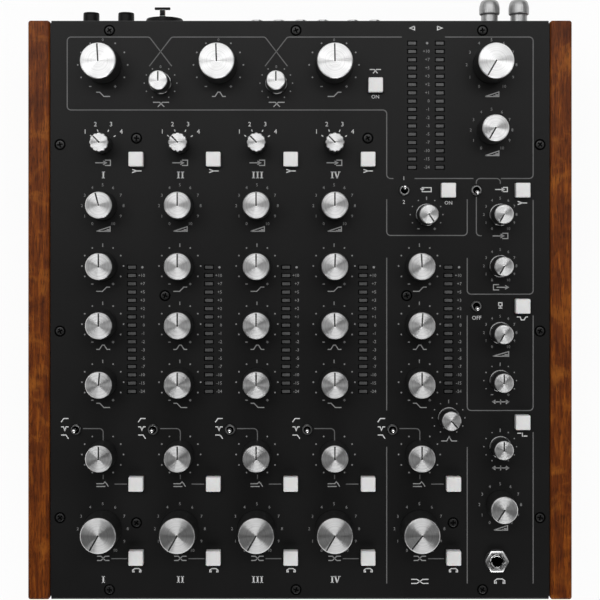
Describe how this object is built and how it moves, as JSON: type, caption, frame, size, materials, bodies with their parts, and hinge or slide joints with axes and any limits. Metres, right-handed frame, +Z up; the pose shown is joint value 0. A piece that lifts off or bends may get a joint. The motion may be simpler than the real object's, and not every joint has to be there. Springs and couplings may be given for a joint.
{
  "type": "rotary dj mixer",
  "caption": "Table-top rotary DJ mixer: black steel case between wood cheeks, with turning knobs, push buttons, toggle switches, level meters, a phones socket and rear sockets.",
  "frame": {"origin": "on the surface that it stands on, under the middle of its outline with the rear terminals", "axes": "+X to the user's right, +Y to the rear sockets, +Z up"},
  "size_m": [0.34, 0.3798, 0.108],
  "materials": {
    "panel_paint": "satin",
    "tray_paint": "satin",
    "cheek_wood": "oiled",
    "foot_rubber": "matte",
    "screw_steel": "blackened",
    "board": "matte",
    "socket_metal": "plated",
    "button_plastic": "satin",
    "lever_chrome": "polished",
    "knob": "satin"
  },
  "bodies": {
    "case": {"chassis_tray": "tray_paint", "top_panel": "panel_paint", "wood_cheeks": "cheek_wood", "rubber_feet": "foot_rubber", "case_screws": "screw_steel", "circuit_boards": "board", "sockets": "socket_metal"},
    "push_buttons": {"push_buttons": "button_plastic"},
    "filter_mode_toggles": {"filter_mode_toggles": "lever_chrome"},
    "effect_toggle": {"effect_toggle": "lever_chrome"},
    "session_toggle": {"session_toggle": "lever_chrome"},
    "mic_toggle": {"mic_toggle": "lever_chrome"},
    "isolator_low_knob": {"isolator_low_knob": "knob"},
    "isolator_mid_knob": {"isolator_mid_knob": "knob"},
    "isolator_high_knob": {"isolator_high_knob": "knob"},
    "crossover_low_knob": {"crossover_low_knob": "knob"},
    "crossover_high_knob": {"crossover_high_knob": "knob"},
    "main_level_knob": {"main_level_knob": "knob"},
    "booth_level_knob": {"booth_level_knob": "knob"},
    "effect_send_knob": {"effect_send_knob": "knob"},
    "session_in_knob": {"session_in_knob": "knob"},
    "session_out_knob": {"session_out_knob": "knob"},
    "mic_gain_knob": {"mic_gain_knob": "knob"},
    "mic_tone_knob": {"mic_tone_knob": "knob"},
    "resonance_knob": {"resonance_knob": "knob"},
    "cue_pan_knob": {"cue_pan_knob": "knob"},
    "phones_level_knob": {"phones_level_knob": "knob"},
    "source_knob_1": {"source_knob_1": "knob"},
    "gain_knob_1": {"gain_knob_1": "knob"},
    "source_knob_2": {"source_knob_2": "knob"},
    "gain_knob_2": {"gain_knob_2": "knob"},
    "source_knob_3": {"source_knob_3": "knob"},
    "gain_knob_3": {"gain_knob_3": "knob"},
    "source_knob_4": {"source_knob_4": "knob"},
    "gain_knob_4": {"gain_knob_4": "knob"},
    "high_knob_1": {"high_knob_1": "knob"},
    "mid_knob_1": {"mid_knob_1": "knob"},
    "low_knob_1": {"low_knob_1": "knob"},
    "filter_knob_1": {"filter_knob_1": "knob"},
    "mix_knob_1": {"mix_knob_1": "knob"},
    "high_knob_2": {"high_knob_2": "knob"},
    "mid_knob_2": {"mid_knob_2": "knob"},
    "low_knob_2": {"low_knob_2": "knob"},
    "filter_knob_2": {"filter_knob_2": "knob"},
    "mix_knob_2": {"mix_knob_2": "knob"},
    "high_knob_3": {"high_knob_3": "knob"},
    "mid_knob_3": {"mid_knob_3": "knob"},
    "low_knob_3": {"low_knob_3": "knob"},
    "filter_knob_3": {"filter_knob_3": "knob"},
    "mix_knob_3": {"mix_knob_3": "knob"},
    "high_knob_4": {"high_knob_4": "knob"},
    "mid_knob_4": {"mid_knob_4": "knob"},
    "low_knob_4": {"low_knob_4": "knob"},
    "filter_knob_4": {"filter_knob_4": "knob"},
    "mix_knob_4": {"mix_knob_4": "knob"},
    "high_knob_5": {"high_knob_5": "knob"},
    "mid_knob_5": {"mid_knob_5": "knob"},
    "low_knob_5": {"low_knob_5": "knob"},
    "filter_knob_5": {"filter_knob_5": "knob"},
    "mix_knob_5": {"mix_knob_5": "knob"}
  },
  "joints": [
    {"name": "push_buttons_press", "type": "slide", "parent": "case", "child": "push_buttons", "axis": [0, 0, -1], "range_m": [0, 0.002], "stiffness_N_per_m": 500, "springref_m": -0.002},
    {"name": "filter_mode_toggles_rock", "type": "hinge", "parent": "case", "child": "filter_mode_toggles", "pos_m": [-0.1401, -0.0836, 0.0865], "axis": [1, 0, 0], "range_deg": [-12, 12]},
    {"name": "effect_toggle_rock", "type": "hinge", "parent": "case", "child": "effect_toggle", "pos_m": [0.0652, 0.0659, 0.0865], "axis": [1, 0, 0], "range_deg": [0, 24]},
    {"name": "session_toggle_rock", "type": "hinge", "parent": "case", "child": "session_toggle", "pos_m": [0.1102, 0.0659, 0.0865], "axis": [1, 0, 0], "range_deg": [-24, 0]},
    {"name": "mic_toggle_rock", "type": "hinge", "parent": "case", "child": "mic_toggle", "pos_m": [0.1102, -0.0064, 0.0865], "axis": [1, 0, 0], "range_deg": [-24, 0]},
    {"name": "isolator_low_knob_turn", "type": "hinge", "parent": "case", "child": "isolator_low_knob", "pos_m": [-0.1233, 0.1443, 0.088], "axis": [0, 0, -1], "range_deg": [-147, 153]},
    {"name": "isolator_mid_knob_turn", "type": "hinge", "parent": "case", "child": "isolator_mid_knob", "pos_m": [-0.051, 0.1443, 0.088], "axis": [0, 0, -1], "range_deg": [-148, 152]},
    {"name": "isolator_high_knob_turn", "type": "hinge", "parent": "case", "child": "isolator_high_knob", "pos_m": [0.0213, 0.1443, 0.088], "axis": [0, 0, -1], "range_deg": [-149, 151]},
    {"name": "crossover_low_knob_turn", "type": "hinge", "parent": "case", "child": "crossover_low_knob", "pos_m": [-0.08715, 0.1329, 0.088], "axis": [0, 0, -1], "range_deg": [-150, 150]},
    {"name": "crossover_high_knob_turn", "type": "hinge", "parent": "case", "child": "crossover_high_knob", "pos_m": [-0.01485, 0.1329, 0.088], "axis": [0, 0, -1], "range_deg": [-150, 150]},
    {"name": "main_level_knob_turn", "type": "hinge", "parent": "case", "child": "main_level_knob", "pos_m": [0.1197, 0.1443, 0.088], "axis": [0, 0, -1], "range_deg": [0, 300]},
    {"name": "booth_level_knob_turn", "type": "hinge", "parent": "case", "child": "booth_level_knob", "pos_m": [0.1197, 0.1035, 0.088], "axis": [0, 0, -1], "range_deg": [0, 300]},
    {"name": "effect_send_knob_turn", "type": "hinge", "parent": "case", "child": "effect_send_knob", "pos_m": [0.0791, 0.0507, 0.088], "axis": [0, 0, -1], "range_deg": [-297, 3]},
    {"name": "session_in_knob_turn", "type": "hinge", "parent": "case", "child": "session_in_knob", "pos_m": [0.1251, 0.0507, 0.088], "axis": [0, 0, -1], "range_deg": [0, 300]},
    {"name": "session_out_knob_turn", "type": "hinge", "parent": "case", "child": "session_out_knob", "pos_m": [0.1251, 0.0186, 0.088], "axis": [0, 0, -1], "range_deg": [0, 300]},
    {"name": "mic_gain_knob_turn", "type": "hinge", "parent": "case", "child": "mic_gain_knob", "pos_m": [0.1251, -0.0231, 0.088], "axis": [0, 0, -1], "range_deg": [0, 300]},
    {"name": "mic_tone_knob_turn", "type": "hinge", "parent": "case", "child": "mic_tone_knob", "pos_m": [0.1251, -0.053, 0.088], "axis": [0, 0, -1], "range_deg": [-150, 150]},
    {"name": "resonance_knob_turn", "type": "hinge", "parent": "case", "child": "resonance_knob", "pos_m": [0.0929, -0.0763, 0.088], "axis": [0, 0, -1], "range_deg": [-288, 12]},
    {"name": "cue_pan_knob_turn", "type": "hinge", "parent": "case", "child": "cue_pan_knob", "pos_m": [0.1251, -0.0943, 0.088], "axis": [0, 0, -1], "range_deg": [-150, 150]},
    {"name": "phones_level_knob_turn", "type": "hinge", "parent": "case", "child": "phones_level_knob", "pos_m": [0.1251, -0.1306, 0.088], "axis": [0, 0, -1], "range_deg": [-3, 297]},
    {"name": "source_knob_1_turn", "type": "hinge", "parent": "case", "child": "source_knob_1", "pos_m": [-0.1233, 0.0949, 0.088], "axis": [0, 0, -1], "range_deg": [0, 90]},
    {"name": "gain_knob_1_turn", "type": "hinge", "parent": "case", "child": "gain_knob_1", "pos_m": [-0.1233, 0.0562, 0.088], "axis": [0, 0, -1], "range_deg": [-135, 165]},
    {"name": "source_knob_2_turn", "type": "hinge", "parent": "case", "child": "source_knob_2", "pos_m": [-0.0751, 0.0949, 0.088], "axis": [0, 0, -1], "range_deg": [0, 90]},
    {"name": "gain_knob_2_turn", "type": "hinge", "parent": "case", "child": "gain_knob_2", "pos_m": [-0.0751, 0.0562, 0.088], "axis": [0, 0, -1], "range_deg": [-150, 150]},
    {"name": "source_knob_3_turn", "type": "hinge", "parent": "case", "child": "source_knob_3", "pos_m": [-0.0269, 0.0949, 0.088], "axis": [0, 0, -1], "range_deg": [0, 90]},
    {"name": "gain_knob_3_turn", "type": "hinge", "parent": "case", "child": "gain_knob_3", "pos_m": [-0.0269, 0.0562, 0.088], "axis": [0, 0, -1], "range_deg": [-150, 150]},
    {"name": "source_knob_4_turn", "type": "hinge", "parent": "case", "child": "source_knob_4", "pos_m": [0.0213, 0.0949, 0.088], "axis": [0, 0, -1], "range_deg": [0, 90]},
    {"name": "gain_knob_4_turn", "type": "hinge", "parent": "case", "child": "gain_knob_4", "pos_m": [0.0213, 0.0562, 0.088], "axis": [0, 0, -1], "range_deg": [-150, 150]},
    {"name": "high_knob_1_turn", "type": "hinge", "parent": "case", "child": "high_knob_1", "pos_m": [-0.1233, 0.0186, 0.088], "axis": [0, 0, -1], "range_deg": [-150, 150]},
    {"name": "mid_knob_1_turn", "type": "hinge", "parent": "case", "child": "mid_knob_1", "pos_m": [-0.1233, -0.0177, 0.088], "axis": [0, 0, -1], "range_deg": [-150, 150]},
    {"name": "low_knob_1_turn", "type": "hinge", "parent": "case", "child": "low_knob_1", "pos_m": [-0.1233, -0.054, 0.088], "axis": [0, 0, -1], "range_deg": [-155, 145]},
    {"name": "filter_knob_1_turn", "type": "hinge", "parent": "case", "child": "filter_knob_1", "pos_m": [-0.1233, -0.0992, 0.088], "axis": [0, 0, -1], "range_deg": [-150, 150]},
    {"name": "mix_knob_1_turn", "type": "hinge", "parent": "case", "child": "mix_knob_1", "pos_m": [-0.1233, -0.1457, 0.088], "axis": [0, 0, -1], "range_deg": [0, 300]},
    {"name": "high_knob_2_turn", "type": "hinge", "parent": "case", "child": "high_knob_2", "pos_m": [-0.0751, 0.0186, 0.088], "axis": [0, 0, -1], "range_deg": [-150, 150]},
    {"name": "mid_knob_2_turn", "type": "hinge", "parent": "case", "child": "mid_knob_2", "pos_m": [-0.0751, -0.0177, 0.088], "axis": [0, 0, -1], "range_deg": [-150, 150]},
    {"name": "low_knob_2_turn", "type": "hinge", "parent": "case", "child": "low_knob_2", "pos_m": [-0.0751, -0.054, 0.088], "axis": [0, 0, -1], "range_deg": [-150, 150]},
    {"name": "filter_knob_2_turn", "type": "hinge", "parent": "case", "child": "filter_knob_2", "pos_m": [-0.0751, -0.0992, 0.088], "axis": [0, 0, -1], "range_deg": [-150, 150]},
    {"name": "mix_knob_2_turn", "type": "hinge", "parent": "case", "child": "mix_knob_2", "pos_m": [-0.0751, -0.1457, 0.088], "axis": [0, 0, -1], "range_deg": [0, 300]},
    {"name": "high_knob_3_turn", "type": "hinge", "parent": "case", "child": "high_knob_3", "pos_m": [-0.0269, 0.0186, 0.088], "axis": [0, 0, -1], "range_deg": [-150, 150]},
    {"name": "mid_knob_3_turn", "type": "hinge", "parent": "case", "child": "mid_knob_3", "pos_m": [-0.0269, -0.0177, 0.088], "axis": [0, 0, -1], "range_deg": [-150, 150]},
    {"name": "low_knob_3_turn", "type": "hinge", "parent": "case", "child": "low_knob_3", "pos_m": [-0.0269, -0.054, 0.088], "axis": [0, 0, -1], "range_deg": [-150, 150]},
    {"name": "filter_knob_3_turn", "type": "hinge", "parent": "case", "child": "filter_knob_3", "pos_m": [-0.0269, -0.0992, 0.088], "axis": [0, 0, -1], "range_deg": [-150, 150]},
    {"name": "mix_knob_3_turn", "type": "hinge", "parent": "case", "child": "mix_knob_3", "pos_m": [-0.0269, -0.1457, 0.088], "axis": [0, 0, -1], "range_deg": [0, 300]},
    {"name": "high_knob_4_turn", "type": "hinge", "parent": "case", "child": "high_knob_4", "pos_m": [0.0213, 0.0186, 0.088], "axis": [0, 0, -1], "range_deg": [-152, 148]},
    {"name": "mid_knob_4_turn", "type": "hinge", "parent": "case", "child": "mid_knob_4", "pos_m": [0.0213, -0.0177, 0.088], "axis": [0, 0, -1], "range_deg": [-148, 152]},
    {"name": "low_knob_4_turn", "type": "hinge", "parent": "case", "child": "low_knob_4", "pos_m": [0.0213, -0.054, 0.088], "axis": [0, 0, -1], "range_deg": [-150, 150]},
    {"name": "filter_knob_4_turn", "type": "hinge", "parent": "case", "child": "filter_knob_4", "pos_m": [0.0213, -0.0992, 0.088], "axis": [0, 0, -1], "range_deg": [-150, 150]},
    {"name": "mix_knob_4_turn", "type": "hinge", "parent": "case", "child": "mix_knob_4", "pos_m": [0.0213, -0.1457, 0.088], "axis": [0, 0, -1], "range_deg": [0, 300]},
    {"name": "high_knob_5_turn", "type": "hinge", "parent": "case", "child": "high_knob_5", "pos_m": [0.0746, 0.0186, 0.088], "axis": [0, 0, -1], "range_deg": [-147, 153]},
    {"name": "mid_knob_5_turn", "type": "hinge", "parent": "case", "child": "mid_knob_5", "pos_m": [0.0746, -0.0177, 0.088], "axis": [0, 0, -1], "range_deg": [-153, 147]},
    {"name": "low_knob_5_turn", "type": "hinge", "parent": "case", "child": "low_knob_5", "pos_m": [0.0746, -0.054, 0.088], "axis": [0, 0, -1], "range_deg": [-150, 150]},
    {"name": "filter_knob_5_turn", "type": "hinge", "parent": "case", "child": "filter_knob_5", "pos_m": [0.0746, -0.0992, 0.088], "axis": [0, 0, -1], "range_deg": [-150, 150]},
    {"name": "mix_knob_5_turn", "type": "hinge", "parent": "case", "child": "mix_knob_5", "pos_m": [0.0746, -0.1457, 0.088], "axis": [0, 0, -1], "range_deg": [-8, 292]}
  ]
}
